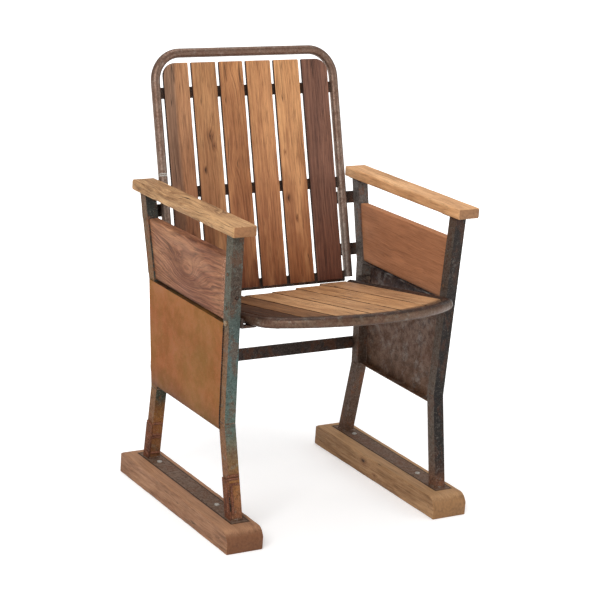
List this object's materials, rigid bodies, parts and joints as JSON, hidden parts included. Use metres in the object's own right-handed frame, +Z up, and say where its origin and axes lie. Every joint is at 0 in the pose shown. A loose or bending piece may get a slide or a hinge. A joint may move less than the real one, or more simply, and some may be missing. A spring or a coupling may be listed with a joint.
{
  "type": "tip-up cinema chair",
  "caption": "Free-standing chair with a slatted raked back and a slatted tip-up seat in bent tubes, between angle-iron end frames on wooden skids with flat armrests.",
  "frame": {"origin": "on the floor under the middle of the chair's overall box", "axes": "+Z up, the chair faces -Y, its width runs along X"},
  "size_m": [0.5992, 0.6384, 0.9184],
  "materials": {
    "skid_wood": "worn bare softwood",
    "arm_wood": "light oiled hardwood",
    "board_wood_left": "brown stained wood with a swirling grain",
    "board_wood_right": "reddish brown stained wood",
    "patina_steel": "old grey-green paint worn to rust",
    "black_steel": "old black paint, worn grey at the edges",
    "rusty_steel": "dull brown rust",
    "grey_steel": "dull grey-brown",
    "rusty_sheet": "orange-brown rust with streaks",
    "dark_sheet": "dark grey scuffed paint",
    "rust_patch": "rough rust",
    "bar_steel": "dull brown steel",
    "back_tube_steel": "dark brown-grey worn paint",
    "seat_tube_steel": "dark brown-grey worn paint",
    "screw_steel": "dull zinc",
    "bolt_steel": "dull steel",
    "back_slat_wood_1": "worn varnished slat",
    "seat_slat_wood_1": "worn varnished slat",
    "back_slat_wood_2": "worn varnished slat",
    "seat_slat_wood_2": "worn varnished slat",
    "back_slat_wood_3": "worn varnished slat",
    "seat_slat_wood_3": "worn varnished slat",
    "back_slat_wood_4": "worn varnished slat",
    "seat_slat_wood_4": "worn varnished slat",
    "back_slat_wood_5": "worn varnished slat",
    "seat_slat_wood_5": "worn varnished slat",
    "back_slat_wood_6": "worn varnished slat",
    "seat_slat_wood_6": "worn varnished slat"
  },
  "bodies": {
    "frame": {"skid_left": "skid_wood", "skid_right": "skid_wood", "foot_bar_left": "bar_steel", "foot_bar_right": "bar_steel", "foot_screws": "screw_steel", "front_upright_left": "patina_steel", "front_upright_right": "black_steel", "rear_upright_left": "rusty_steel", "rear_upright_right": "grey_steel", "foot_doublers": "rust_patch", "side_board_left": "board_wood_left", "side_board_right": "board_wood_right", "board_screws": "screw_steel", "side_sheet_left": "rusty_sheet", "side_sheet_right": "dark_sheet", "armrest_left": "arm_wood", "armrest_right": "arm_wood", "arm_tabs": "bar_steel", "arm_screws": "screw_steel", "rear_crossbar": "bar_steel", "crossbar_cleats": "bar_steel", "back_tube": "back_tube_steel", "back_bar_lower": "bar_steel", "back_bar_middle": "bar_steel", "back_bar_upper": "bar_steel", "back_slat_1": "back_slat_wood_1", "back_slat_2": "back_slat_wood_2", "back_slat_3": "back_slat_wood_3", "back_slat_4": "back_slat_wood_4", "back_slat_5": "back_slat_wood_5", "back_slat_6": "back_slat_wood_6", "back_slat_screws": "screw_steel", "back_bracket_lower_left": "bar_steel", "back_bracket_lower_right": "bar_steel", "back_bracket_upper_left": "bar_steel", "back_bracket_upper_right": "bar_steel", "back_bracket_bolts": "bolt_steel", "pivot_bracket_left": "bar_steel", "pivot_bracket_right": "bar_steel", "pivot_bracket_bolts": "bolt_steel", "pivot_bolt_left": "bolt_steel", "pivot_bolt_right": "bolt_steel", "stop_bracket_left": "bar_steel", "stop_bracket_right": "bar_steel", "stop_bolts": "bolt_steel", "stop_spacer": "bolt_steel"},
    "seat": {"seat_tube": "seat_tube_steel", "pivot_bosses": "seat_tube_steel", "seat_bar_front": "bar_steel", "seat_bar_middle": "bar_steel", "seat_bar_rear": "bar_steel", "seat_slat_1": "seat_slat_wood_1", "seat_slat_2": "seat_slat_wood_2", "seat_slat_3": "seat_slat_wood_3", "seat_slat_4": "seat_slat_wood_4", "seat_slat_5": "seat_slat_wood_5", "seat_slat_6": "seat_slat_wood_6", "seat_slat_screws": "screw_steel"}
  },
  "joints": [
    {"name": "seat_tip", "type": "hinge", "parent": "frame", "child": "seat", "pos_m": [0, 0.12047, 0.40826], "axis": [-1, 0, 0], "range_deg": [0, 95]}
  ]
}
